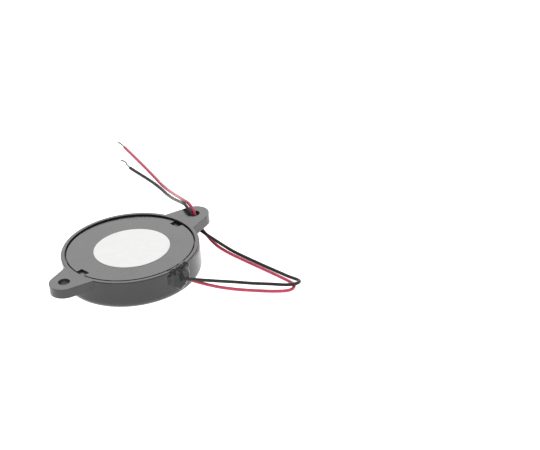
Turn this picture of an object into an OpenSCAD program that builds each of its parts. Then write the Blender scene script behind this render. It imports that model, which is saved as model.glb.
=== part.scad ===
// Piezo buzzer with two mounting lugs and two flying leads.
// The front face, with the sound hole, lies on z = 0. The origin is the centre of that face.
// The back cover and its label look up, +Z. The lugs lie along X and the leads leave near -Y.

/* [Case] */
// Outside diameter of the round body
body_d = 41; // [39:0.5:50]
// Height from the front face to the top of the rim
body_h = 9; // [8.5:0.5:14]
// Thickness of the front wall
front_wall = 1.2; // [0.8:0.1:1.6]
// Radius of the rounded front edge
front_round = 2.3; // [0.5:0.1:2.6]
// Radius of the small rounding on the outer edge of the rim
rim_round = 0.3; // [0.1:0.1:0.5]
// Thickness of the rim around the back cover
rim_wall = 1.2; // [0.8:0.1:1.5]
// Diameter of the sound hole
sound_hole_d = 5; // [2:0.5:9]

/* [Lugs] */
// Distance between the two screw holes
lug_pitch = 50; // [48:0.5:64]
// Diameter of a screw hole
lug_hole_d = 3.5; // [2.6:0.1:4.5]
// Radius of the rounded lug tip
lug_tip_r = 4.5; // [3.4:0.1:5]
// Angle at which each side of a lug widens towards the body
lug_flare = 16; // [8:1:24]
// Thickness of the lugs, flush with the top of the rim
lug_t = 3; // [2:0.1:4]

/* [Back cover] */
// Thickness of the back cover
cover_t = 1.2; // [0.8:0.1:1.6]
// Depth of the cover below the top of the rim
cover_recess = 0.5; // [0.2:0.1:1]
// Gap between the cover and the rim
cover_gap = 0.45; // [0.15:0.05:0.6]
// Angle at which the sealant props up the cover on the side of the leads
cover_tilt = 0.75; // [0:0.05:0.8]
// Width of the two notches in the edge of the cover
notch_w = 3.4; // [2:0.1:5]
// Depth of the two notches, from the edge of the cover
notch_depth = 1.9; // [1:0.1:2.4]
// Height of the step down into a notch
notch_drop = 0.6; // [0.3:0.1:0.9]
// Diameter of the paper label
label_d = 22.6; // [12:0.1:26]
// Thickness of the paper label
label_t = 0.1; // [0.05:0.01:0.2]

/* [Sounding disc] */
// Diameter of the brass diaphragm
diaphragm_d = 35; // [29:0.5:35]
// Thickness of the brass diaphragm
diaphragm_t = 0.25; // [0.15:0.05:0.4]
// Depth of the chamber between the front wall and the diaphragm
chamber_h = 1; // [0.6:0.1:1.2]
// Diameter of the piezo ceramic disc
ceramic_d = 25; // [23:0.5:27]
// Thickness of the piezo ceramic disc
ceramic_t = 0.25; // [0.15:0.05:0.4]

/* [Circuit board] */
// Thickness of the circuit board
board_t = 0.8; // [0.5:0.1:1]
// Free height between the diaphragm seat and the circuit board
board_lift = 1.6; // [1.5:0.1:1.8]

/* [Leads] */
// Outside diameter of the lead insulation
lead_d = 1; // [0.8:0.05:1.05]
// Diameter of the tinned wire at the free ends
tinned_d = 0.5; // [0.3:0.05:0.6]
// Width of the slot in the rim where the leads leave
slot_w = 7; // [5:0.5:9]

/* [Hidden] */
$fn = 96;

eps = 0.01;
black_plastic = [0.09, 0.09, 0.1];
tin_grey = [0.75, 0.76, 0.78];

// Radii of the stepped inside of the case, from the rim inwards
body_r = body_d / 2;
rim_r = body_r - rim_wall;
cover_seat_w = 0.8;
board_seat_w = 0.6;
disc_gap = 0.4;
disc_seat_w = 1;
board_bore_r = rim_r - cover_seat_w;
disc_bore_r = diaphragm_d / 2 + disc_gap;
chamber_r = diaphragm_d / 2 - disc_seat_w;
cover_r = rim_r - cover_gap;
board_gap = 0.15;
board_r = board_bore_r - board_gap;

// Heights of the seats and of what lies on them
disc_z = front_wall + chamber_h;
ceramic_z = disc_z + diaphragm_t;
electrode_t = 0.05;
electrode_z = ceramic_z + ceramic_t;
board_z = disc_z + board_lift;
board_top = board_z + board_t;
copper_t = 0.05;
parts_z = board_top + copper_t;
cover_z = body_h - cover_recess - cover_t;
cover_top = cover_z + cover_t;

// The cover's locating ring reaches down to the board and holds it on its seat
ring_gap = 0.2;
ring_wall = 1.2;
ring_r = board_bore_r - ring_gap;

// The turn from +X at which the tilted cover still lies on its seat
cover_low_turn = 51;

// The exit slot is turned a little from the cross axis, and the leads lie on its floor
slot_turn = 4;
slot_z = board_top;
plug_gap = 0.05;

// The label was put on by hand, a little off centre
label_shift = [0.2, -0.6];

// Places on the circuit board, seen from the back cover
diode_at = [7.5, -9.5];
capacitor_at = [0.5, -8.5];
transistor_at = [-7.5, 0.5];
base_resistor_at = [-8, -6.5];
feedback_resistor_at = [-8.5, 7];
drive_resistor_at = [1.5, 11.5];
choke_at = [8.5, 1];

// Bead of glue over the edge of the diaphragm, and the bare ring of brass that it leaves
glue_h = 0.8;
glue_in = 0.9;
brass_ring_w = (diaphragm_d - ceramic_d) / 2 - glue_in;

// The three fine wires: where each meets the disc, and its hole in the board.
// The ground wire stays over the bare ring of brass.
drive_dot = [2, 5];
drive_hole = [-1.5, 7.5];
feedback_dot = [-8.6, 0];
feedback_hole = [-12, 3.5];
ground_dot_turn = 45;
ground_dot_share = 0.61;
ground_dot_r = ceramic_d / 2 + ground_dot_share * brass_ring_w;
ground_dot = ground_dot_r * [cos(ground_dot_turn), sin(ground_dot_turn)];
ground_hole_turn = 56.8;
ground_hole_r = ceramic_d / 2 + 1.4;
ground_hole = ground_hole_r * [cos(ground_hole_turn), sin(ground_hole_turn)];
wire_d = 0.4;
wire_bend = 0.5;
wire_hole_d = 0.8;
wire_stand = 0.35;

// Electrode pattern: a drive field with a tongue cut out of it for the feedback field
electrode_margin = 1;
electrode_r = ceramic_d / 2 - electrode_margin;
tongue_w = 4;
tongue_in = 5;
tongue_gap = 0.6;

// Chip part sizes: length, width, height
resistor_size = [2, 1.25, 0.5];
capacitor_size = [3.2, 1.6, 1.2];
diode_size = [2.7, 1.6, 1.1];
transistor_size = [2.9, 1.3, 1];
leg_pitch = 1.9;
leg_reach = 1.2;
transistor_feet = [[-leg_pitch / 2, -leg_reach], [leg_pitch / 2, -leg_reach], [0, leg_reach]];
chip_stand = 0.1;
track_w = 0.5;
choke_r = 2.2;
choke_h = 2;
choke_hub_r = 1;
choke_pad_x = 1.6;
choke_flange = 0.4;
winding_in = 0.25;

// Stripped wire at the board, and tinned wire at the free ends
stripped_l = 1.8;
solder_r = 1.1;
solder_h = 0.9;
ground_solder_r = min(solder_r, (1 - ground_dot_share) * brass_ring_w);

// Routes of the two leads, from the board to the cut end of the insulation.
// They drop from the sealant to the surface that the case lies on, fold back,
// rise through the screw hole of the +X lug and come down behind it.
BLACK_ROUTE = [
    [-0.2, -15, 5.2], [-0.2, -17, 5.2], [0.2, -19, 5.3], [0.9, -20.6, 5.4], [2, -21.8, 5.3],
    [3.6, -22.9, 4.9], [5.9, -24.5, 4.2], [9.3, -26.7, 3.1], [13.8, -29.9, 1.8], [17.6, -33.8, 1],
    [20.6, -38.2, 1], [22.3, -41.2, 1.1], [23.2, -42.9, 1.3], [23.9, -43.9, 1.5],
    [25, -44.5, 1.5], [26.2, -44.2, 1.3], [27, -43.3, 1], [27.3, -42, 0.8], [27.2, -38, 0.5],
    [26.8, -27, 0.5], [26.5, -15, 0.7],
    [26.2, -11.6, 1.3], [25.7, -8.2, 2.3], [25, -4.6, 3.6], [24.5, -1.6, 5], [24.4, -0.4, 6.8],
    [24.4, 0.4, 8.6], [24.6, 1.8, 9.9], [25.4, 4.2, 10.3], [26.8, 7.6, 9.2], [29.6, 13.6, 6.6],
    [33, 20.6, 3.6], [36, 27, 1.4], [38.4, 34, 0.5], [40.6, 50, 0.5]
];
RED_ROUTE = [
    [2.6, -15, 5.2], [2.6, -17, 5.2], [2.7, -19, 5.2], [3, -20.7, 5.1], [3.6, -21.7, 4.5],
    [4.6, -22.5, 3.8], [5.9, -23.8, 3], [7.7, -25.8, 2.1], [9.9, -28.2, 1.2], [12.6, -31.8, 0.6],
    [15.6, -36.4, 0.5], [18.6, -40.8, 0.5], [21, -43.5, 0.5], [22, -44.2, 0.5], [23.3, -44.4, 0.5],
    [24.5, -43.8, 0.5], [25.2, -42.8, 0.5], [25.4, -41.6, 0.5], [25.5, -36, 0.5],
    [25.2, -15, 0.5], [25.5, -10.4, 0.5], [25.9, -6.8, 0.9], [26, -4.2, 2.1], [25.8, -2, 4],
    [25.6, -0.8, 6], [25.6, 0.1, 7.9], [25.8, 1.4, 9.6], [26.5, 3.8, 10.4], [27.8, 7.8, 9.6],
    [31, 14.6, 7], [34.6, 21.8, 4], [37.8, 28.8, 1.6], [40.4, 35.8, 0.5], [43, 44, 0.5],
    [45.6, 52.8, 0.5], [48.2, 61.8, 0.5]
];
BLACK_TIP = [
    [40.6, 50, 0.5], [41.1, 51.4, 0.4], [41.7, 53, 0.3], [42.3, 54.2, 0.3], [42.4, 55.4, 0.3],
    [42, 56.4, 0.3]
];
RED_TIP = [
    [48.2, 61.8, 0.5], [48.7, 63.1, 0.4], [49.1, 64.4, 0.3], [49.3, 65.6, 0.3], [49.2, 66.4, 0.3]
];
ROUTE_SIDES = 8;

// Where the stripped ends of the leads are soldered to the board
black_pad = [BLACK_ROUTE[0].x, BLACK_ROUTE[0].y + stripped_l];
red_pad = [RED_ROUTE[0].x, RED_ROUTE[0].y + stripped_l];

function unit(v) = v / norm(v);
function heading(route, i) =
    i == 0 ? unit(route[1] - route[0])
    : i == len(route) - 1 ? unit(route[i] - route[i - 1])
    : unit(unit(route[i + 1] - route[i]) + unit(route[i] - route[i - 1]));
// Directions across the route, each turned as little as possible from the one before
function sideways(route, i, last) =
    i == len(route) ? []
    : let (t = heading(route, i), s = unit(last - (last * t) * t))
      concat([s], sideways(route, i + 1, s));
function ring(centre, t, s, r) =
    [for (k = [0 : ROUTE_SIDES - 1])
        let (a = 360 * k / ROUTE_SIDES) centre + r * (cos(a) * s + sin(a) * cross(t, s))];

// A round tube swept along a route, one ring of points at each of its points
module tube(route, d) {
    count = len(route);
    sides = sideways(route, 0, [0, 0, 1]);
    points = [for (i = [0 : count - 1]) each ring(route[i], heading(route, i), sides[i], d / 2)];
    skin = [for (i = [0 : count - 2], k = [0 : ROUTE_SIDES - 1])
        let (n = (k + 1) % ROUTE_SIDES, a = i * ROUTE_SIDES, b = a + ROUTE_SIDES)
        each [[a + k, b + n, a + n], [a + k, b + k, b + n]]];
    first = [for (k = [0 : ROUTE_SIDES - 1]) k];
    last = [for (k = [ROUTE_SIDES - 1 : -1 : 0]) (count - 1) * ROUTE_SIDES + k];
    polyhedron(points, concat([first], skin, [last]));
}

// Everything between two radii and two heights
module annulus(r_in, r_out, z_low, z_high) {
    translate([0, 0, z_low]) difference() {
        cylinder(r = r_out, h = z_high - z_low);
        translate([0, 0, -1]) cylinder(r = r_in, h = z_high - z_low + 2);
    }
}

// The way out for the leads, from inside the case to well outside it
module exit_slot(z_low, z_high) {
    rotate([0, 0, slot_turn]) translate([-slot_w / 2, -body_d, z_low])
        cube([slot_w, body_d - body_r / 2, z_high - z_low]);
}

module lug_outline() {
    tip = lug_pitch / 2;
    side_x = tip + lug_tip_r * sin(lug_flare);
    side_y = lug_tip_r * cos(lug_flare);
    root_x = rim_r * cos(30);
    root_y = side_y + (side_x - root_x) * tan(lug_flare);
    translate([tip, 0]) circle(r = lug_tip_r);
    polygon([[side_x, side_y], [root_x, root_y], [root_x, -root_y], [side_x, -side_y]]);
}

// Outline of the solid body in section, with a round front edge and a slight round on the rim
module body_section() {
    translate([0, front_round]) square([body_r, body_h - front_round - rim_round]);
    square([body_r - front_round, body_h]);
    translate([body_r - front_round, front_round]) circle(r = front_round);
    translate([0, body_h / 2]) square([body_r - rim_round, body_h / 2]);
    translate([body_r - rim_round, body_h - rim_round]) circle(r = rim_round);
}

module case() {
    color(black_plastic) difference() {
        union() {
            rotate_extrude() body_section();
            for (turn = [0, 180]) rotate([0, 0, turn]) translate([0, 0, body_h - lug_t])
                linear_extrude(lug_t) lug_outline();
        }
        translate([0, 0, front_wall]) cylinder(r = chamber_r, h = body_h);
        translate([0, 0, disc_z]) cylinder(r = disc_bore_r, h = body_h);
        translate([0, 0, board_z]) cylinder(r = board_bore_r, h = body_h);
        translate([0, 0, cover_z]) cylinder(r = rim_r, h = body_h);
        exit_slot(slot_z, body_h + 1);
        translate([0, 0, -1]) cylinder(d = sound_hole_d, h = front_wall + 2);
        for (side = [-1, 1]) translate([side * lug_pitch / 2, 0, -1])
            cylinder(d = lug_hole_d, h = body_h + 2);
    }
}

// Tilts what lies with the cover about the one place where the cover meets its seat
module tilted() {
    rotate([0, 0, cover_low_turn]) translate([cover_r, 0, cover_z]) rotate([0, cover_tilt, 0])
        translate([-cover_r, 0, -cover_z]) rotate([0, 0, -cover_low_turn]) children();
}

module back_cover() {
    color(black_plastic) tilted() difference() {
        union() {
            translate([0, 0, cover_z]) cylinder(r = cover_r, h = cover_t);
            annulus(ring_r - ring_wall, ring_r, board_top + ring_gap, cover_z + eps);
        }
        exit_slot(0, cover_z);
        for (turn = [0, 180]) rotate([0, 0, turn])
            translate([cover_r - notch_depth, -notch_w / 2, cover_top - notch_drop])
                cube([body_r, notch_w, cover_t]);
    }
}

module label() {
    color("white") tilted() translate([label_shift.x, label_shift.y, cover_top])
        cylinder(d = label_d, h = label_t);
}

module diaphragm() {
    color("goldenrod") translate([0, 0, disc_z]) cylinder(d = diaphragm_d, h = diaphragm_t);
}

module piezo_disc() {
    color("beige") translate([0, 0, ceramic_z]) cylinder(d = ceramic_d, h = ceramic_t);
}

// The tongue of the feedback field, grown by a margin on every side
module tongue(grow) {
    translate([-electrode_r + tongue_in, 0]) circle(d = tongue_w + 2 * grow);
    translate([-ceramic_d, -tongue_w / 2 - grow])
        square([ceramic_d - electrode_r + tongue_in, tongue_w + 2 * grow]);
}

module drive_electrode() {
    color("silver") translate([0, 0, electrode_z]) linear_extrude(electrode_t) difference() {
        circle(r = electrode_r);
        tongue(tongue_gap);
    }
}

module feedback_electrode() {
    color("silver") translate([0, 0, electrode_z]) linear_extrude(electrode_t) intersection() {
        circle(r = electrode_r);
        tongue(0);
    }
}

// Bead of silicone over the edge of the diaphragm
module diaphragm_glue() {
    edge = diaphragm_d / 2;
    color("gainsboro") rotate_extrude() polygon([
        [edge, disc_z], [disc_bore_r, disc_z], [disc_bore_r, ceramic_z + glue_h],
        [edge - glue_in / 3, ceramic_z + glue_h * 0.7], [edge - glue_in, ceramic_z],
        [edge, ceramic_z]
    ]);
}

module circuit_board() {
    color("peru") difference() {
        translate([0, 0, board_z]) cylinder(r = board_r, h = board_t);
        for (hole = [drive_hole, feedback_hole, ground_hole])
            translate([hole.x, hole.y, board_z - 1]) cylinder(d = wire_hole_d, h = board_t + 2);
    }
}

// Where the terminals of a chip part that lies along X meet the board
function ends_of(at, length) = [for (side = [-1, 1]) [at.x + side * (length / 2 - 0.2), at.y]];

module pad(at) {
    translate(at) square([1.2, 1.6], center = true);
}

// A copper track from one place to another, first along X and then along Y
module track(from, to) {
    translate([min(from.x, to.x), from.y] - [track_w, track_w] / 2)
        square([abs(to.x - from.x) + track_w, track_w]);
    translate([to.x, min(from.y, to.y)] - [track_w, track_w] / 2)
        square([track_w, abs(to.y - from.y) + track_w]);
}

module copper_tracks() {
    diode = ends_of(diode_at, diode_size.x + 0.8);
    capacitor = ends_of(capacitor_at, capacitor_size.x);
    base = ends_of(base_resistor_at, resistor_size.x);
    feedback = ends_of(feedback_resistor_at, resistor_size.x);
    drive = ends_of(drive_resistor_at, resistor_size.x);
    color("darkorange") translate([0, 0, board_top]) linear_extrude(copper_t) difference() {
        union() {
            for (at = concat(diode, capacitor, base, feedback, drive)) pad(at);
            for (at = [black_pad, red_pad]) pad(at);
            for (hole = [drive_hole, feedback_hole, ground_hole])
                translate(hole) circle(r = solder_r);
            for (side = [-1, 1]) pad([choke_at.x + side * choke_pad_x, choke_at.y]);
            for (foot = transistor_feet) translate(transistor_at + foot)
                square([0.8, 1], center = true);
            track(red_pad, diode[0]);
            track(black_pad, capacitor[0]);
            track(diode[1], [choke_at.x + choke_pad_x, choke_at.y]);
            track(feedback_hole, feedback[0]);
            track(feedback[1], drive_hole);
            track(drive_hole, drive[0]);
            track(drive[1], ground_hole);
            track(base[1], transistor_at + transistor_feet[1]);
        }
        for (hole = [drive_hole, feedback_hole, ground_hole])
            translate(hole) circle(d = wire_hole_d);
    }
}

// A chip part along X: its body, and the metal caps that stand a little proud of its ends
module chip(at, size) {
    cap = 0.4;
    proud = 0.04;
    translate([at.x - size.x / 2, at.y - size.y / 2, parts_z]) {
        translate([cap / 2, proud, proud]) cube([size.x - cap, size.y - 2 * proud, size.z - 2 * proud]);
        for (x = [0, size.x - cap]) translate([x, 0, 0]) cube([cap, size.y, size.z]);
    }
}

module base_resistor() {
    color("dimgray") chip(base_resistor_at, resistor_size);
}

module feedback_resistor() {
    color("dimgray") chip(feedback_resistor_at, resistor_size);
}

module drive_resistor() {
    color("dimgray") chip(drive_resistor_at, resistor_size);
}

module supply_capacitor() {
    color("tan") chip(capacitor_at, capacitor_size);
}

// A flat leg that leaves a moulded part along Y and steps down to the board
module leg(x, y_root, y_foot, w, z_root) {
    thick = 0.15;
    step = sign(y_foot - y_root);
    middle = (y_root + y_foot) / 2;
    translate([x - w / 2, min(y_root, middle) - thick / 2, z_root - thick])
        cube([w, abs(middle - y_root) + thick, thick]);
    translate([x - w / 2, middle - thick / 2, 0]) cube([w, thick, z_root]);
    translate([x - w / 2, min(middle, y_foot), 0]) cube([w, abs(y_foot - middle), thick]);
}

module transistor() {
    half = transistor_size.y / 2;
    root = half - 0.1;
    tip = half + 0.8;
    color(black_plastic) translate([transistor_at.x, transistor_at.y, parts_z]) {
        translate([-transistor_size.x / 2, -half, chip_stand]) cube(transistor_size);
        for (foot = transistor_feet)
            leg(foot.x, sign(foot.y) * root, sign(foot.y) * tip, 0.45, 0.6);
    }
}

module polarity_diode() {
    reach = 0.5;
    color(black_plastic) translate([diode_at.x, diode_at.y, parts_z]) {
        translate([-diode_size.x / 2, -diode_size.y / 2, chip_stand]) cube(diode_size);
        rotate([0, 0, 90]) for (side = [-1, 1])
            leg(0, side * (diode_size.x / 2 - 0.1), side * (diode_size.x / 2 + reach), 0.6, 0.5);
    }
}

// Ferrite drum with a flange at each end
module choke_core() {
    color("slategray") translate([choke_at.x, choke_at.y, parts_z]) {
        cylinder(r = choke_r, h = choke_flange);
        cylinder(r = choke_hub_r, h = choke_h);
        translate([0, 0, choke_h - choke_flange]) cylinder(r = choke_r, h = choke_flange);
    }
}

module choke_winding() {
    color("chocolate") translate([choke_at.x, choke_at.y, parts_z])
        annulus(choke_hub_r, choke_r - winding_in, choke_flange, choke_h - choke_flange);
}

// A fine wire that leaves the disc flat, turns up and passes through its hole in the board
module link_wire(dot, hole, z) {
    run = norm(hole - dot);
    turn = atan2(hole.y - dot.y, hole.x - dot.x);
    top = board_top + 1;
    translate([dot.x, dot.y, z]) rotate([0, 0, turn]) {
        rotate([0, 90, 0]) cylinder(d = wire_d, h = run - wire_bend);
        translate([run - wire_bend, 0, wire_bend]) rotate([90, 0, 0]) rotate([0, 0, -90])
            rotate_extrude(angle = 90) translate([wire_bend, 0]) circle(d = wire_d);
        translate([run, 0, wire_bend]) cylinder(d = wire_d, h = top - z - wire_bend);
    }
}

field_z = electrode_z + electrode_t;

module drive_wire() {
    color("firebrick") link_wire(drive_dot, drive_hole, field_z + wire_stand);
}

module feedback_wire() {
    color("royalblue") link_wire(feedback_dot, feedback_hole, field_z + wire_stand);
}

module ground_wire() {
    color("dimgray") link_wire(ground_dot, ground_hole, ceramic_z + wire_stand);
}

// A rounded mound of solder
module mound(at, z, r, h) {
    ball = (r * r + h * h) / (2 * h);
    translate([at.x, at.y, z]) intersection() {
        translate([0, 0, h - ball]) sphere(r = ball);
        translate([-2 * r, -2 * r, 0]) cube([4 * r, 4 * r, 2 * h]);
    }
}

module disc_solder() {
    color(tin_grey) difference() {
        union() {
            for (dot = [drive_dot, feedback_dot]) mound(dot, field_z, solder_r, wire_stand + wire_d);
            mound(ground_dot, ceramic_z, ground_solder_r, wire_stand + wire_d);
        }
        link_wire(drive_dot, drive_hole, field_z + wire_stand);
        link_wire(feedback_dot, feedback_hole, field_z + wire_stand);
        link_wire(ground_dot, ground_hole, ceramic_z + wire_stand);
    }
}

module board_solder() {
    color(tin_grey) for (hole = [drive_hole, feedback_hole, ground_hole]) difference() {
        mound(hole, parts_z, solder_r, solder_h * 0.8);
        translate([hole.x, hole.y, board_z]) cylinder(d = wire_d, h = board_t + 2);
    }
}

// The stripped end of each lead, with the solder that holds it to its pad
module lead_solder() {
    color(tin_grey) for (pad_at = [black_pad, red_pad]) {
        translate([pad_at.x, pad_at.y, BLACK_ROUTE[0].z]) rotate([90, 0, 0])
            cylinder(d = tinned_d, h = stripped_l);
        mound(pad_at, parts_z, solder_r, solder_h);
    }
}

// Black sealant that fills the slot around the leads and bulges down the wall outside it
module sealant_bulge() {
    top = body_h - 0.1;
    // Each ball: its turn from the cross axis, its height and its radius
    balls = [
        [slot_turn - 11, top - 1, 0.9], [slot_turn - 1, top - 1.2, 1.2], [slot_turn + 9, top - 1.1, 1],
        [slot_turn + 6, 5.2, 2], [slot_turn - 2, 4.6, 1.7], [slot_turn + 1, 2.7, 1.2]
    ];
    hull() for (ball = balls)
        rotate([0, 0, ball[0]]) translate([0, -body_r, ball[1]]) sphere(r = ball[2], $fn = 24);
}

module exit_sealant() {
    color(black_plastic) difference() {
        union() {
            difference() {
                sealant_bulge();
                cylinder(r = body_r, h = body_h);
            }
            intersection() {
                annulus(cover_r + plug_gap, body_r, slot_z, body_h - 0.1);
                exit_slot(slot_z, body_h);
            }
        }
        tube(BLACK_ROUTE, lead_d);
        tube(RED_ROUTE, lead_d);
    }
}

module black_lead() {
    color([0.13, 0.13, 0.14]) tube(BLACK_ROUTE, lead_d);
}

module red_lead() {
    color([0.75, 0.13, 0.25]) tube(RED_ROUTE, lead_d);
}

module black_tinned_end() {
    color(tin_grey) tube(BLACK_TIP, tinned_d);
}

module red_tinned_end() {
    color(tin_grey) tube(RED_TIP, tinned_d);
}

case();
back_cover();
label();
diaphragm();
piezo_disc();
drive_electrode();
feedback_electrode();
diaphragm_glue();
circuit_board();
copper_tracks();
transistor();
base_resistor();
feedback_resistor();
drive_resistor();
choke_core();
choke_winding();
polarity_diode();
supply_capacitor();
drive_wire();
feedback_wire();
ground_wire();
disc_solder();
board_solder();
lead_solder();
exit_sealant();
black_lead();
red_lead();
black_tinned_end();
red_tinned_end();
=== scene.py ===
import bmesh
import bpy
import math
from mathutils import Matrix, Vector, noise


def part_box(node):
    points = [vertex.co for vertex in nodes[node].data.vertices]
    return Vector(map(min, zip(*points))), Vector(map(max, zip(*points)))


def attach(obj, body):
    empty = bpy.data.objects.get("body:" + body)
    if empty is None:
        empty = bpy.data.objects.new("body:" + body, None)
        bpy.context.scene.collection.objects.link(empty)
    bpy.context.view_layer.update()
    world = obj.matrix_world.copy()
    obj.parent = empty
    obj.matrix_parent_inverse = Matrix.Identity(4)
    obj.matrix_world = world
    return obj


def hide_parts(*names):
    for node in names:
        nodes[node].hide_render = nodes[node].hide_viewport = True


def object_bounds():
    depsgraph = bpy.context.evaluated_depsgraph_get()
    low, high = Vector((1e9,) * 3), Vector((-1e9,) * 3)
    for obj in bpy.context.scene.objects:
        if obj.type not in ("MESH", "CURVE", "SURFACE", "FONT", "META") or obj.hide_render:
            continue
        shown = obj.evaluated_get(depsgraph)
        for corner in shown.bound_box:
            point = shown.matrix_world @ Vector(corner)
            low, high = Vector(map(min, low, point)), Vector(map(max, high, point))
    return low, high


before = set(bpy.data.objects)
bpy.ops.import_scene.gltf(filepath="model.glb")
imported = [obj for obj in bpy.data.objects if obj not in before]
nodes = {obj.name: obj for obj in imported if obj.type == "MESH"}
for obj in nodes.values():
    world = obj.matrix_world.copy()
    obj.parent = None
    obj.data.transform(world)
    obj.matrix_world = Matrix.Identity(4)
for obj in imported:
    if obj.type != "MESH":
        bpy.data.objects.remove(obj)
CAD_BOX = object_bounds()

MM = 0.001
UP = Vector((0, 0, 1))
scene = bpy.context.scene

# ---------------------------------------------------------------- camera

CAMERA_AZIMUTH = -38.8
CAMERA_ELEVATION = 29.64
CAMERA_DISTANCE = 0.9832
CAMERA_ROLL = -6.59
CAMERA_LENS = 218.6
SENSOR_WIDTH = 36
LOOK_AT = Vector((44.55, -10.98, 0)) * MM


def direction(azimuth, elevation):
    a = math.radians(azimuth)
    e = math.radians(elevation)
    return Vector((math.sin(a) * math.cos(e), -math.cos(a) * math.cos(e), math.sin(e)))


def aimed(back, roll=0.0):
    """The rotation of a camera or light that looks along -back."""
    side = UP.cross(back).normalized()
    top = back.cross(side)
    r = math.radians(roll)
    right = side * math.cos(r) + top * math.sin(r)
    up = top * math.cos(r) - side * math.sin(r)
    return Matrix((right, up, back)).transposed()


def make_camera():
    """The camera of the main view."""
    data = bpy.data.cameras.new("camera")
    data.lens = CAMERA_LENS
    data.sensor_width = SENSOR_WIDTH
    data.clip_start = 0.01
    data.clip_end = 50
    camera = bpy.data.objects.new("camera", data)
    scene.collection.objects.link(camera)
    back = direction(CAMERA_AZIMUTH, CAMERA_ELEVATION)
    turn = aimed(back, CAMERA_ROLL).to_4x4()
    camera.matrix_world = Matrix.Translation(LOOK_AT + back * CAMERA_DISTANCE) @ turn
    scene.camera = camera


# ---------------------------------------------------------------- node materials

# Where the Mix node keeps its colour sockets, which share their names with its other sockets
MIX_COLOUR_A = 6
MIX_COLOUR_B = 7
MIX_COLOUR_OUT = 2


class Finish:
    """A procedural material on one Principled shader, with places measured in millimetres."""

    def __init__(self, name, roughness, metallic=0.0, **sockets):
        self.material = bpy.data.materials.new(name)
        self.material.use_nodes = True
        self.tree = self.material.node_tree
        self.shader = self.tree.nodes["Principled BSDF"]
        self.shader.inputs["Roughness"].default_value = roughness
        self.shader.inputs["Metallic"].default_value = metallic
        for key, value in sockets.items():
            self.shader.inputs[key.replace("_", " ")].default_value = value
        place = self.node("ShaderNodeTexCoord")
        scale = self.node("ShaderNodeMapping", Scale=(1 / MM,) * 3)
        self.link(place.outputs["Object"], scale.inputs["Vector"])
        self.place = scale.outputs["Vector"]
        self.bump_out = None

    def node(self, kind, props=(), **sockets):
        """A new node, with its settings and what feeds its sockets."""
        made = self.tree.nodes.new(kind)
        for key, value in dict(props).items():
            setattr(made, key, value)
        for key, value in sockets.items():
            self.feed(made.inputs[key.replace("_", " ")], value)
        return made

    def link(self, a, b):
        self.tree.links.new(a, b)

    def feed(self, socket, value):
        """Links a socket to another, or sets its value."""
        if isinstance(value, bpy.types.NodeSocket):
            self.link(value, socket)
        else:
            socket.default_value = value

    def stretched(self, scale, turn=0.0):
        """Places stretched by scale along X, Y and Z, after a turn about Z in degrees."""
        rotation = (0, 0, math.radians(turn))
        made = self.node("ShaderNodeMapping", Vector=self.place, Scale=scale, Rotation=rotation)
        return made.outputs["Vector"]

    def noise(self, scale, detail=2.0, place=None, distortion=0.0):
        """Cloudy noise, 0 to 1, with so many features to a millimetre."""
        made = self.node(
            "ShaderNodeTexNoise", Vector=place or self.place, Scale=scale, Detail=detail,
            Distortion=distortion
        )
        return made.outputs["Fac"]

    def cells(self, scale, place=None):
        """The distance to the nearest of a scatter of points."""
        made = self.node("ShaderNodeTexVoronoi", Vector=place or self.place, Scale=scale)
        return made.outputs["Distance"]

    def waves(self, scale, axis, distortion=0.0):
        """Even bands, 0 to 1, that follow each other along an axis."""
        made = self.node(
            "ShaderNodeTexWave", {"wave_type": "BANDS", "bands_direction": axis},
            Vector=self.place, Scale=scale, Distortion=distortion
        )
        return made.outputs["Fac"]

    def spread(self, value, low, high, to_low=0.0, to_high=1.0):
        """Maps low..high of a value to to_low..to_high, clamped."""
        made = self.node("ShaderNodeMapRange", Value=value)
        for key, number in (("From Min", low), ("From Max", high), ("To Min", to_low),
                            ("To Max", to_high)):
            made.inputs[key].default_value = number
        return made.outputs["Result"]

    def math(self, operation, a, b):
        made = self.node("ShaderNodeMath", {"operation": operation})
        self.feed(made.inputs[0], a)
        self.feed(made.inputs[1], b)
        return made.outputs["Value"]

    def blend(self, factor, a, b):
        """A colour between a and b."""
        made = self.node("ShaderNodeMix", {"data_type": "RGBA"})
        self.feed(made.inputs["Factor"], factor)
        for socket, colour in ((MIX_COLOUR_A, a), (MIX_COLOUR_B, b)):
            colour = (*colour, 1) if isinstance(colour, tuple) else colour
            self.feed(made.inputs[socket], colour)
        return made.outputs[MIX_COLOUR_OUT]

    def colour(self, value):
        self.link(value, self.shader.inputs["Base Color"])

    def rough(self, value):
        self.link(value, self.shader.inputs["Roughness"])

    def bump(self, height, microns):
        """Adds a height, 0 to 1, that stands so many microns high."""
        made = self.node("ShaderNodeBump", Height=height, Strength=1.0, Distance=microns * 1e-6)
        if self.bump_out is not None:
            self.link(self.bump_out, made.inputs["Normal"])
        self.bump_out = made.outputs["Normal"]
        self.link(self.bump_out, self.shader.inputs["Normal"])

    def round_edges(self, radius):
        """Shades sharp edges as if they were rounded. It comes before the first bump."""
        made = self.node("ShaderNodeBevel", {"samples": 8}, Radius=radius)
        self.bump_out = made.outputs["Normal"]

    def facing_up(self):
        """How far a face looks up: 1 on a flat top."""
        facing = self.node("ShaderNodeNewGeometry").outputs["Normal"]
        return self.node("ShaderNodeSeparateXYZ", Vector=facing).outputs["Z"]


def shade(colour, factor):
    """A colour made darker or lighter."""
    return tuple(min(1.0, c * factor) for c in colour)


# The rounding of the moulded edges, in the material only
EDGE_ROUND = 0.16 * MM


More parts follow.
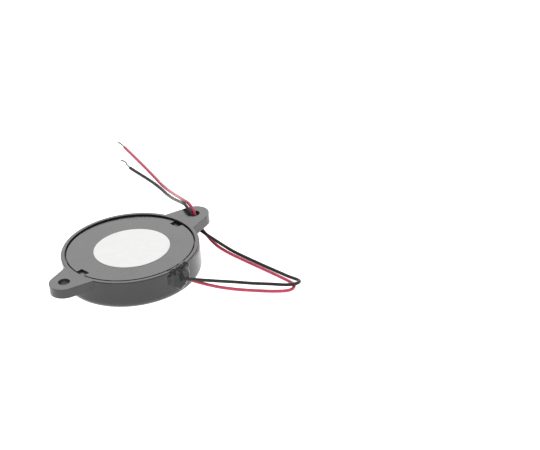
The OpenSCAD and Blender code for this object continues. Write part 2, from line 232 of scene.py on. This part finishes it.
def moulded_plastic(name, colour, roughness, peel=1.2):
    """Glossy moulded plastic: orange peel (microns), cloudy gloss, hairline scratches and dust."""
    f = Finish(name, roughness, IOR=1.5)
    f.round_edges(EDGE_ROUND)
    cloud = f.noise(0.16, 3)
    fine = f.noise(3.5, 3)
    scratches = None
    for turn in (24, -52, 78):
        line = f.cells(1.0, f.stretched((0.06, 3.2, 0.3), turn))
        thin = f.spread(line, 0.0, 0.035, 1.0, 0.0)
        patchy = f.spread(f.noise(0.35, 1, place=f.stretched((1, 1, 1), turn)), 0.56, 0.66)
        mark = f.math("MULTIPLY", thin, patchy)
        scratches = mark if scratches is None else f.math("MAXIMUM", scratches, mark)
    speck = f.spread(f.cells(2.6), 0.03, 0.07, 1.0, 0.0)
    lit = f.spread(f.facing_up(), 0.6, 0.95)
    some = f.spread(f.noise(0.9, 1), 0.52, 0.6)
    dust = f.math("MULTIPLY", f.math("MULTIPLY", speck, lit), some)
    edge = f.spread(f.node("ShaderNodeNewGeometry").outputs["Pointiness"], 0.52, 0.62)
    base = f.blend(f.spread(cloud, 0.35, 0.65), shade(colour, 0.85), shade(colour, 1.2))
    base = f.blend(f.math("MULTIPLY", edge, 0.35), base, shade(colour, 3.2))
    base = f.blend(f.math("MULTIPLY", scratches, 0.25), base, (0.12, 0.12, 0.13))
    base = f.blend(f.math("MULTIPLY", dust, 0.5), base, (0.35, 0.34, 0.32))
    f.colour(base)
    gloss = f.spread(cloud, 0.3, 0.7, roughness * 0.85, roughness * 1.2)
    gloss = f.math("ADD", gloss, f.math("MULTIPLY", fine, 0.03))
    gloss = f.math("ADD", gloss, f.math("MULTIPLY", scratches, 0.18))
    f.rough(f.math("ADD", gloss, f.math("MULTIPLY", dust, 0.3)))
    f.bump(f.noise(1.6, 2), peel)
    f.bump(f.math("SUBTRACT", 1.0, scratches), 1.0)
    f.bump(dust, 6.0)
    return f.material


def paper(name, colour):
    """Coated label paper: faint fibres, a soft mottle and a few specks."""
    f = Finish(name, 0.62, IOR=1.45, Sheen_Weight=0.1)
    fibres = f.noise(2.2, 4, place=f.stretched((1, 6, 1), 35), distortion=0.6)
    mottle = f.noise(0.35, 3)
    base = f.blend(f.spread(mottle, 0.35, 0.65), shade(colour, 0.955), colour)
    base = f.blend(f.spread(fibres, 0.58, 0.75, 0.0, 0.14), base, shade(colour, 0.8))
    speck = f.spread(f.cells(1.1), 0.02, 0.05, 0.35, 0.0)
    f.colour(f.blend(speck, base, (0.45, 0.43, 0.4)))
    f.rough(f.spread(mottle, 0.3, 0.7, 0.55, 0.7))
    f.bump(fibres, 8)
    f.bump(f.noise(0.25, 2), 25)
    return f.material


def insulation(name, colour, roughness, gloss=0.5):
    """Soft PVC insulation: a faint mottle, pale specks and a slightly uneven surface."""
    f = Finish(name, roughness, IOR=1.53, Subsurface_Weight=0.05, Subsurface_Scale=0.0004)
    f.shader.inputs["Specular IOR Level"].default_value = gloss
    mottle = f.noise(0.6, 3)
    fine = f.noise(9, 2)
    base = f.blend(f.spread(mottle, 0.35, 0.65), shade(colour, 0.84), shade(colour, 1.12))
    speck = f.spread(f.cells(3.4), 0.04, 0.08, 0.5, 0.0)
    f.colour(f.blend(speck, base, shade(colour, 1.9)))
    f.rough(f.math("ADD", f.spread(mottle, 0.3, 0.7, roughness * 0.8, roughness * 1.25),
                   f.math("MULTIPLY", fine, 0.06)))
    f.bump(f.noise(1.3, 2), 9)
    f.bump(fine, 1.5)
    return f.material


def sealing_compound(name, colour):
    """Glossy black sealant: smooth and wet looking, with slow ripples and a few dull patches."""
    f = Finish(name, 0.12, IOR=1.45)
    f.shader.inputs["Specular IOR Level"].default_value = 0.45
    dull = f.noise(0.8, 3)
    f.colour(f.blend(f.spread(dull, 0.4, 0.6), shade(colour, 0.8), shade(colour, 1.4)))
    f.rough(f.spread(dull, 0.42, 0.7, 0.07, 0.26))
    f.bump(f.noise(0.9, 2, distortion=0.8), 22)
    f.bump(f.noise(5, 2), 2)
    return f.material


def metal(name, colour, roughness, tarnish, lumps, grain=(1, 1, 1), scale=4.0):
    """Bare metal with directional grain, lumps in microns and patches of tarnish."""
    f = Finish(name, roughness, 1.0)
    lines = f.noise(scale, 3, place=f.stretched(grain))
    patches = f.noise(0.45, 4)
    base = f.blend(f.spread(patches, 0.45, 0.7, 0.0, tarnish), colour, shade(colour, 0.45))
    f.colour(f.blend(f.spread(lines, 0.3, 0.7), shade(colour, 0.94), base))
    f.rough(f.spread(lines, 0.3, 0.7, roughness * 0.75, min(1.0, roughness * 1.4)))
    f.bump(lines, lumps)
    return f.material


def rolled_brass(name, colour):
    """Rolled brass sheet: fine parallel rolling lines and smudges of tarnish."""
    f = Finish(name, 0.3, 1.0)
    lines = f.noise(5, 3, place=f.stretched((0.08, 6, 1), 12))
    smudge = f.noise(0.28, 4, distortion=0.8)
    base = f.blend(f.spread(smudge, 0.45, 0.68), colour, (0.42, 0.27, 0.1))
    f.colour(f.blend(f.spread(lines, 0.35, 0.65, 0.0, 0.35), base, (0.86, 0.7, 0.4)))
    f.rough(f.spread(smudge, 0.3, 0.7, 0.22, 0.42))
    f.bump(lines, 2.5)
    return f.material


def fired_ceramic(name, colour, grain=6.0, contrast=0.12, roughness=0.55):
    """Sintered ceramic: fine grain, faint stains and pores."""
    f = Finish(name, roughness, IOR=1.6)
    grit = f.noise(grain, 3)
    stain = f.noise(0.3, 3)
    base = f.blend(f.spread(stain, 0.35, 0.65), shade(colour, 1 - contrast), colour)
    pore = f.spread(f.cells(grain * 0.9), 0.06, 0.12, 0.7, 0.0)
    f.colour(f.blend(pore, base, shade(colour, 0.5)))
    f.rough(f.spread(grit, 0.3, 0.7, roughness * 0.85, min(1.0, roughness * 1.15)))
    f.bump(grit, 5)
    return f.material


def printed_silver(name, colour):
    """Screen-printed silver: a fine mesh pattern with slightly oxidised patches."""
    f = Finish(name, 0.38, 0.85)
    mesh = f.math("MULTIPLY", f.waves(4.0, "X"), f.waves(4.0, "Y"))
    oxide = f.noise(0.5, 4)
    f.colour(f.blend(f.spread(oxide, 0.45, 0.7, 0.0, 0.6), colour, (0.42, 0.38, 0.3)))
    f.rough(f.spread(mesh, 0.0, 1.0, 0.3, 0.5))
    f.bump(mesh, 4)
    return f.material


def silicone_bead(name, colour):
    """Cloudy silicone: soft, slightly see-through, with small bubbles."""
    f = Finish(name, 0.3, IOR=1.42, Subsurface_Weight=0.4, Subsurface_Scale=0.0008)
    bubble = f.spread(f.cells(1.8), 0.08, 0.16, 1.0, 0.0)
    cloud = f.noise(0.8, 3)
    base = f.blend(f.spread(cloud, 0.3, 0.7), shade(colour, 0.85), colour)
    f.colour(f.blend(f.math("MULTIPLY", bubble, 0.35), base, shade(colour, 1.2)))
    f.rough(f.spread(cloud, 0.3, 0.7, 0.22, 0.42))
    f.bump(cloud, 30)
    f.bump(bubble, 12)
    return f.material


def board_laminate(name, colour):
    """Phenolic paper board: pressed fibres and a satin resin surface."""
    f = Finish(name, 0.42, IOR=1.55)
    fibre = f.noise(3.2, 4, place=f.stretched((1, 5, 3), 8), distortion=0.5)
    weave = f.math("MULTIPLY", f.waves(1.1, "X", 0.6), f.waves(1.1, "Y", 0.6))
    base = f.blend(f.spread(fibre, 0.35, 0.68), shade(colour, 0.82), shade(colour, 1.12))
    f.colour(f.blend(f.math("MULTIPLY", weave, 0.2), base, shade(colour, 1.35)))
    f.rough(f.spread(fibre, 0.3, 0.7, 0.34, 0.52))
    f.bump(weave, 6)
    f.bump(fibre, 3)
    return f.material


def chip_moulding(name, colour):
    """Matt epoxy moulding compound: fine sparkle of filler and a dusty bloom."""
    f = Finish(name, 0.58, IOR=1.5)
    grit = f.noise(14, 2)
    bloom = f.noise(1.2, 3)
    base = f.blend(f.spread(bloom, 0.35, 0.65), shade(colour, 0.8), shade(colour, 1.35))
    f.colour(f.blend(f.spread(grit, 0.62, 0.72, 0.0, 0.4), base, (0.2, 0.2, 0.21)))
    f.rough(f.spread(bloom, 0.3, 0.7, 0.5, 0.7))
    f.bump(grit, 3)
    return f.material


def wound_wire(name, colour):
    """Turns of enamelled copper wire, stacked up the hub, with painted shade in the grooves between
    them.
    """
    f = Finish(name, 0.28, 0.7, Coat_Weight=0.5, Coat_Roughness=0.15)
    turns = f.waves(1.25, "Z")
    worn = f.noise(2.5, 3)
    # Painted shade: the grooves between the turns are darkened to a quarter of the wire's colour
    base = f.blend(f.spread(turns, 0.0, 0.55), shade(colour, 0.25), colour)
    f.colour(f.blend(f.spread(worn, 0.5, 0.7, 0.0, 0.4), base, shade(colour, 1.3)))
    f.rough(f.spread(worn, 0.3, 0.7, 0.2, 0.36))
    f.bump(turns, 60)
    return f.material


# The radiance of the floor itself
FLOOR_GLOW = 1.25


def seamless_floor(name):
    """Plain pale surface that glows as a light table does, with the faintest mottle."""
    f = Finish(name, 0.7, IOR=1.4)
    f.shader.inputs["Specular IOR Level"].default_value = 0.2
    f.shader.inputs["Emission Color"].default_value = (1, 1, 1, 1)
    f.shader.inputs["Emission Strength"].default_value = FLOOR_GLOW
    tone = f.noise(0.02, 2)
    f.colour(f.blend(f.spread(tone, 0.3, 0.7), (0.6, 0.6, 0.6), (0.61, 0.61, 0.61)))
    f.bump(f.noise(0.8, 2), 4)
    return f.material


BLACK = (0.017, 0.0172, 0.0185)
COPPER = (0.72, 0.36, 0.2)
MATERIALS = {
    "case_plastic": moulded_plastic("case_plastic", BLACK, 0.2),
    "cover_plastic": moulded_plastic("cover_plastic", shade(BLACK, 1.1), 0.23, 1.6),
    "label_paper": paper("label_paper", (0.76, 0.765, 0.755)),
    "sealant": sealing_compound("sealant", (0.011, 0.011, 0.012)),
    "black_insulation": insulation("black_insulation", (0.016, 0.016, 0.016), 0.42, 0.3),
    "red_insulation": insulation("red_insulation", (0.42, 0.03, 0.075), 0.32),
    "blue_insulation": insulation("blue_insulation", (0.03, 0.08, 0.4), 0.32),
    "tinned_copper": metal("tinned_copper", (0.2, 0.2, 0.205), 0.4, tarnish=0.5, lumps=6),
    "solder": metal("solder", (0.66, 0.66, 0.68), 0.3, scale=2.2, tarnish=0.3, lumps=14),
    "copper": metal("copper", COPPER, 0.34, grain=(1, 4, 1), tarnish=0.5, lumps=3),
    "winding": wound_wire("winding", (0.6, 0.22, 0.08)),
    "diaphragm_brass": rolled_brass("diaphragm_brass", (0.78, 0.57, 0.24)),
    "piezo_ceramic": fired_ceramic("piezo_ceramic", (0.8, 0.72, 0.55)),
    "silver_film": printed_silver("silver_film", (0.78, 0.78, 0.76)),
    "silicone": silicone_bead("silicone", (0.75, 0.75, 0.72)),
    "board_laminate": board_laminate("board_laminate", (0.4, 0.22, 0.09)),
    "chip_plastic": chip_moulding("chip_plastic", (0.03, 0.03, 0.033)),
    "resistor_ceramic": fired_ceramic("resistor_ceramic", (0.05, 0.05, 0.055), 9, 0.3, 0.4),
    "ferrite": fired_ceramic("ferrite", (0.07, 0.07, 0.075), 8, 0.3, 0.6),
    "capacitor_ceramic": fired_ceramic("capacitor_ceramic", (0.5, 0.36, 0.22), 8, 0.15, 0.45),
}
FLOOR_MATERIAL = seamless_floor("seamless_floor")


# ---------------------------------------------------------------- mesh helpers


def add_piece(name, data, material, *replaced):
    """Links a new piece, which rides on the one body and stands for the CAD nodes named."""
    piece = bpy.data.objects.new(name, data)
    scene.collection.objects.link(piece)
    data.materials.clear()
    data.materials.append(MATERIALS[material])
    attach(piece, "root")
    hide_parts(*replaced)
    return piece


def mesh_from(bm, name):
    """The finished mesh, shaded smooth."""
    mesh = bpy.data.meshes.new(name)
    bm.to_mesh(mesh)
    bm.free()
    mesh.shade_smooth()
    return mesh


# ---------------------------------------------------------------- leads

LEAD_D = 1.0 * MM
LEAD_STEP = 0.5 * MM
LEAD_BEVEL_STEPS = 6

# The stripped ends: the strands in each, their diameter, how far from the middle one they run as a
# share of it, the length of one twist, and where along the end they start to come loose
STRANDS = 7
STRAND_D = 0.165 * MM
STRAND_REACH = 0.97
STRAND_TWIST = 3.2 * MM
LOOSE_FROM = 0.8
STRAND_LIFT = 0.02 * MM

# Their mesh, and how fast the nose of a strand grows to its full radius, ring by ring
STRAND_STEP = 0.1 * MM
STRAND_SIDES = 10
NOSE_START = 0.35
NOSE_GROWTH = 0.4

# The routes, in millimetres, as the CAD part has them
BLACK_ROUTE = [
    (-0.2, -15, 5.2), (-0.2, -17, 5.2), (0.2, -19, 5.3), (0.9, -20.6, 5.4), (2, -21.8, 5.3),
    (3.6, -22.9, 4.9), (5.9, -24.5, 4.2), (9.3, -26.7, 3.1), (13.8, -29.9, 1.8), (17.6, -33.8, 1),
    (20.6, -38.2, 1), (22.3, -41.2, 1.1), (23.2, -42.9, 1.3), (23.9, -43.9, 1.5), (25, -44.5, 1.5),
    (26.2, -44.2, 1.3), (27, -43.3, 1), (27.3, -42, 0.8), (27.2, -38, 0.5), (26.8, -27, 0.5),
    (26.5, -15, 0.7), (26.2, -11.6, 1.3), (25.7, -8.2, 2.3), (25, -4.6, 3.6), (24.5, -1.6, 5),
    (24.4, -0.4, 6.8), (24.4, 0.4, 8.6), (24.6, 1.8, 9.9), (25.4, 4.2, 10.3), (26.8, 7.6, 9.2),
    (29.6, 13.6, 6.6), (33, 20.6, 3.6), (36, 27, 1.4), (38.4, 34, 0.5), (40.6, 50, 0.5)
]
RED_ROUTE = [
    (2.6, -15, 5.2), (2.6, -17, 5.2), (2.7, -19, 5.2), (3, -20.7, 5.1), (3.6, -21.7, 4.5),
    (4.6, -22.5, 3.8), (5.9, -23.8, 3), (7.7, -25.8, 2.1), (9.9, -28.2, 1.2), (12.6, -31.8, 0.6),
    (15.6, -36.4, 0.5), (18.6, -40.8, 0.5), (21, -43.5, 0.5), (22, -44.2, 0.5), (23.3, -44.4, 0.5),
    (24.5, -43.8, 0.5), (25.2, -42.8, 0.5), (25.4, -41.6, 0.5), (25.5, -36, 0.5),
    (25.2, -15, 0.5), (25.5, -10.4, 0.5), (25.9, -6.8, 0.9), (26, -4.2, 2.1), (25.8, -2, 4),
    (25.6, -0.8, 6), (25.6, 0.1, 7.9), (25.8, 1.4, 9.6), (26.5, 3.8, 10.4), (27.8, 7.8, 9.6),
    (31, 14.6, 7), (34.6, 21.8, 4), (37.8, 28.8, 1.6), (40.4, 35.8, 0.5), (43, 44, 0.5),
    (45.6, 52.8, 0.5), (48.2, 61.8, 0.5)
]
BLACK_TIP = [
    (40.6, 50, 0.5), (41.1, 51.4, 0.4), (41.7, 53, 0.3), (42.3, 54.2, 0.3), (42.4, 55.4, 0.3),
    (42, 56.4, 0.3)
]
RED_TIP = [
    (48.2, 61.8, 0.5), (48.7, 63.1, 0.4), (49.1, 64.4, 0.3), (49.3, 65.6, 0.3), (49.2, 66.4, 0.3)
]


def smooth_path(route, step, lowest):
    """Points about a step apart on a centripetal curve through a route's points, in metres."""
    points = [Vector(p) * MM for p in route]
    points = [points[0] * 2 - points[1]] + points + [points[-1] * 2 - points[-2]]
    path = []
    for a, b, c, d in zip(points, points[1:], points[2:], points[3:]):
        times = [0.0]
        for start, end in ((a, b), (b, c), (c, d)):
            times.append(times[-1] + math.sqrt((end - start).length))
        count = max(1, round((c - b).length / step))
        for i in range(count):
            t = times[1] + (times[2] - times[1]) * i / count
            path.append(on_curve((a, b, c, d), times, t))
    path.append(points[-2].copy())
    for point in path:
        point.z = max(point.z, lowest)
    return path


def on_curve(points, times, t):
    """The place at time t on the Catmull-Rom curve through four points at four times."""
    def between(a, b, start, end):
        return a.lerp(b, (t - start) / (end - start))

    p, q, r, s = points
    t0, t1, t2, t3 = times
    a = between(p, q, t0, t1)
    b = between(q, r, t1, t2)
    c = between(r, s, t2, t3)
    return between(between(a, b, t0, t2), between(b, c, t1, t3), t1, t2)


def length_of(path):
    """The length of a path along its points."""
    return sum((b - a).length for a, b in zip(path, path[1:]))


def add_lead(name, route, material, node):
    """One insulated lead: a smooth curve of its real diameter, cut square at its far end."""
    path = smooth_path(route, LEAD_STEP, LEAD_D / 2)
    data = bpy.data.curves.new(name, "CURVE")
    data.dimensions = "3D"
    data.bevel_depth = LEAD_D / 2
    data.bevel_resolution = LEAD_BEVEL_STEPS
    data.use_fill_caps = True
    spline = data.splines.new("POLY")
    spline.points.add(len(path) - 1)
    for point, place in zip(spline.points, path):
        point.co = (*place, 1)
    piece = add_piece(name, data, material, node)


def frames_along(path):
    """At each point of a path: its place and two directions across it."""
    across = UP
    for i, place in enumerate(path):
        ahead = path[min(i + 1, len(path) - 1)] - path[max(i - 1, 0)]
        ahead = ahead.normalized()
        across = (across - across.dot(ahead) * ahead).normalized()
        yield place, across, ahead.cross(across)


def add_tube(bm, centres, radii, sides):
    """Adds one closed tube: a ring of its own radius round each centre, and flat ends."""
    rings = []
    for (place, u, v), r in zip(frames_along(centres), radii):
        rings.append([
            bm.verts.new(place + (u * math.cos(a) + v * math.sin(a)) * r)
            for a in (2 * math.pi * k / sides for k in range(sides))
        ])
    for low, high in zip(rings, rings[1:]):
        for k in range(sides):
            n = (k + 1) % sides
            bm.faces.new((low[k], low[n], high[n], high[k]))
    bm.faces.new(list(reversed(rings[0])))
    bm.faces.new(rings[-1])


def add_strands(name, route, node):
    """The stripped end of a lead: tinned strands, all but one of them twisted round the last."""
    path = smooth_path(route, STRAND_STEP, 1.5 * STRAND_D)
    frames = list(frames_along(path))
    total = length_of(path)
    step = total / (len(path) - 1)
    bm = bmesh.new()
    for k in range(STRANDS):
        spread = 1 + 0.8 * noise.noise((k, 0.5, 0.1))
        centres = []
        radii = []
        for i, (place, u, v) in enumerate(frames):
            along = i * step
            loose = 1 + 0.5 * max(0.0, along / total - LOOSE_FROM) * spread
            angle = 2 * math.pi * k / (STRANDS - 1) + 2 * math.pi * along / STRAND_TWIST
            reach = 0 if k == STRANDS - 1 else STRAND_D * STRAND_REACH * loose
            centres.append(place + (u * math.cos(angle) + v * math.sin(angle)) * reach)
            nose = NOSE_START + NOSE_GROWTH * min(i, len(frames) - 1 - i)
            radii.append(STRAND_D / 2 * min(1.0, nose))
        add_tube(bm, centres, radii, STRAND_SIDES)
    for vert in bm.verts:
        vert.co.z = max(vert.co.z, STRAND_LIFT)
    return add_piece(name, mesh_from(bm, name), "tinned_copper", node)


# ---------------------------------------------------------------- label and sealant


LABEL_T = 0.1 * MM
LABEL_SIDES = 144
LABEL_RINGS = 26

# The paper's wave, its lifted edge and its soft cut edges, as shares of its thickness
WAVE = 0.1
CURL = 0.5
TOP_EDGE = 0.25
BOTTOM_EDGE = 0.15

# The lifted part of the label's edge: where it starts, as a share of the radius, and its turn
CURL_START = 0.8
CURL_TURN = 2.4

# The slant of the cover, and the turn from +X of its lowest side, as the CAD part has them
COVER_TILT = math.radians(0.75)
COVER_LOW_TURN = math.radians(51)


def add_label():
    """The paper label: a thin disc that slants with the cover, its soft edge lifted on one side."""
    low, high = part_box("label")
    centre = (low + high) / 2
    radius = (high.x - low.x) / 2
    top = centre.z + LABEL_T / 2
    bottom = centre.z - LABEL_T / 2
    bm = bmesh.new()

    def lift(r, a):
        """How far the paper stands off the cover at a share of the radius and a turn."""
        wave = WAVE * LABEL_T * noise.noise((3 * r * math.cos(a), 3 * r * math.sin(a), 1.7))
        out = max(0.0, r - CURL_START) / (1 - CURL_START)
        return wave + CURL * LABEL_T * out * max(0.0, math.cos(a - CURL_TURN)) ** 3

    def ring(r, z, follow):
        """A ring of vertices at height z, which follow the lift by that share."""
        made = []
        for k in range(LABEL_SIDES):
            a = 2 * math.pi * k / LABEL_SIDES
            rise = lift(r, a) * follow
            made.append(bm.verts.new((
                centre.x + radius * r * math.cos(a), centre.y + radius * r * math.sin(a), z + rise
            )))
        return made

    edge = TOP_EDGE * LABEL_T / radius
    loops = [ring(i / LABEL_RINGS * (1 - edge), top, 1) for i in range(1, LABEL_RINGS + 1)]
    loops.append(ring(1, top - TOP_EDGE * LABEL_T, 1))
    loops.append(ring(1, bottom + BOTTOM_EDGE * LABEL_T, 1))
    loops.append(ring(1 - edge, bottom, 0))
    for a, b in zip(loops, loops[1:]):
        for k in range(LABEL_SIDES):
            n = (k + 1) % LABEL_SIDES
            bm.faces.new((a[k], b[k], b[n], a[n]))
    middle = bm.verts.new((centre.x, centre.y, top))
    for k in range(LABEL_SIDES):
        bm.faces.new((middle, loops[0][k], loops[0][(k + 1) % LABEL_SIDES]))
    bm.faces.new(list(reversed(loops[-1])))
    hinge = Vector((-math.sin(COVER_LOW_TURN), math.cos(COVER_LOW_TURN), 0))
    tilt = Matrix.Rotation(COVER_TILT, 3, hinge)
    bmesh.ops.rotate(bm, cent=centre, matrix=tilt, verts=bm.verts)
    add_piece("paper_label", mesh_from(bm, "paper_label"), "label_paper", "label")


# The sealant's voxels, how much its lumps melt together, and the height and spacing of its ripples
SEALANT_VOXEL = 0.18 * MM
MELT_FACTOR = 0.8
MELT_PASSES = 36
RIPPLE = 0.3 * MM
RIPPLES_PER_MM = 0.55

# Each lump of sealant: its turn from the -Y axis in degrees, its distance inside the wall and
# height above the floor in millimetres, and its radius in millimetres
SEALANT_LUMPS = [
    (-5, 1, 7.4, 1.6), (0, 1, 7.5, 1.6), (5, 1.1, 7.4, 1.6), (10, 1, 7.5, 1.6),
    (14, 1.1, 7.6, 1.6), (-5.5, 0.9, 5.7, 1.6), (0, 0.8, 5.8, 1.7), (6, 0.6, 5.8, 1.8),
    (11, 0.6, 5.8, 1.8), (14, 1.1, 5.6, 1.5), (-4.5, 0.9, 4.9, 1.5), (0, 0.6, 4.3, 1.8),
    (5, 0.3, 4.1, 2), (9.5, 0.4, 4.7, 1.8), (3.5, 0.5, 3.2, 1.7), (6, -0.5, 5.4, 1.2),
    (9.5, -0.5, 5, 1.2), (-2, 2.1, 7.6, 1.3), (4, 2.1, 7.6, 1.3), (10, 2.1, 7.6, 1.3)
]


def add_sealant():
    """The sealant in the exit slot: a few broad lumps melted into one smooth, rippled bead."""
    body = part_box("case")[1]
    bm = bmesh.new()
    for turn, inset, height, radius in SEALANT_LUMPS:
        a = math.radians(turn)
        reach = body.y - inset * MM
        place = Vector((math.sin(a) * reach, -math.cos(a) * reach, height * MM))
        bmesh.ops.create_icosphere(
            bm, subdivisions=3, radius=radius * MM, matrix=Matrix.Translation(place)
        )
    piece = add_piece("slot_sealant", mesh_from(bm, "sealant_lumps"), "sealant", "exit_sealant")
    melt = piece.modifiers.new("melt", "REMESH")
    melt.mode = "VOXEL"
    melt.voxel_size = SEALANT_VOXEL
    soften = piece.modifiers.new("soften", "SMOOTH")
    soften.factor = MELT_FACTOR
    soften.iterations = MELT_PASSES
    shaped = bpy.data.meshes.new_from_object(
        piece.evaluated_get(bpy.context.evaluated_depsgraph_get())
    )
    piece.modifiers.clear()
    for vert in shaped.vertices:
        vert.co += vert.normal * RIPPLE * noise.noise(vert.co / MM * RIPPLES_PER_MM)
        vert.co.z = min(vert.co.z, body.z)
    shaped.name = "slot_sealant"
    shaped.shade_smooth()
    shaped.materials.clear()
    shaped.materials.append(MATERIALS["sealant"])
    piece.data = shaped


# ---------------------------------------------------------------- studio

# Half the floor's side, and how far it lies below the part
FLOOR_HALF = 4.0
FLOOR_DROP = 0.02 * MM

# The white room, and how far from the object each softbox stands
ROOM_LIGHT = 0.8
SOFTBOX_DISTANCE = 2.4


def add_floor():
    """The surface that the part lies on."""
    bm = bmesh.new()
    bmesh.ops.create_grid(bm, x_segments=8, y_segments=8, size=FLOOR_HALF)
    floor = bpy.data.objects.new("floor", mesh_from(bm, "floor"))
    floor.data.materials.append(FLOOR_MATERIAL)
    floor.location.z = CAD_BOX[0].z - FLOOR_DROP
    scene.collection.objects.link(floor)


def add_softbox(name, azimuth, elevation, size, radiance):
    """A rectangular light that faces the object, with the radiance that its face shows."""
    data = bpy.data.lights.new(name, "AREA")
    data.shape = "RECTANGLE"
    data.size, data.size_y = size
    data.energy = radiance * math.pi * size[0] * size[1]
    light = bpy.data.objects.new(name, data)
    back = direction(azimuth, elevation)
    light.matrix_world = Matrix.Translation(back * SOFTBOX_DISTANCE) @ aimed(back).to_4x4()
    scene.collection.objects.link(light)


def add_studio():
    """The white room, a light behind the part, one above it and a card at its right."""
    world = bpy.data.worlds.new("studio")
    world.use_nodes = True
    background = world.node_tree.nodes["Background"]
    background.inputs["Color"].default_value = (1, 1, 1, 1)
    background.inputs["Strength"].default_value = ROOM_LIGHT
    scene.world = world
    scene.view_settings.view_transform = "Standard"
    add_softbox("back_softbox", CAMERA_AZIMUTH + 180, 30, (2.0, 1.4), 1.9)
    add_softbox("top_softbox", CAMERA_AZIMUTH, 85, (1.6, 1.6), 1.6)
    add_softbox("side_card", 50, 12, (1.0, 1.0), 1.6)


# ---------------------------------------------------------------- the scene

# The CAD nodes that are shown as they are, and their materials
KEPT = {
    "case": "case_plastic", "back_cover": "cover_plastic",
    "diaphragm": "diaphragm_brass", "piezo_disc": "piezo_ceramic",
    "drive_electrode": "silver_film", "feedback_electrode": "silver_film",
    "diaphragm_glue": "silicone", "circuit_board": "board_laminate", "copper_tracks": "copper",
    "transistor": "chip_plastic", "base_resistor": "resistor_ceramic",
    "feedback_resistor": "resistor_ceramic", "drive_resistor": "resistor_ceramic",
    "choke_core": "ferrite", "choke_winding": "winding", "polarity_diode": "chip_plastic",
    "supply_capacitor": "capacitor_ceramic", "drive_wire": "red_insulation",
    "feedback_wire": "blue_insulation", "ground_wire": "black_insulation",
    "disc_solder": "solder", "board_solder": "solder", "lead_solder": "solder"
}

make_camera()
black_strands = add_strands("black_strands", BLACK_TIP, "black_tinned_end")
red_strands = add_strands("red_strands", RED_TIP, "red_tinned_end")
add_lead("black_wire", BLACK_ROUTE, "black_insulation", "black_lead")
add_lead("red_wire", RED_ROUTE, "red_insulation", "red_lead")
add_label()
add_sealant()
for node, material in KEPT.items():
    for slot in nodes[node].material_slots:
        slot.material = MATERIALS[material]
add_floor()
add_studio()
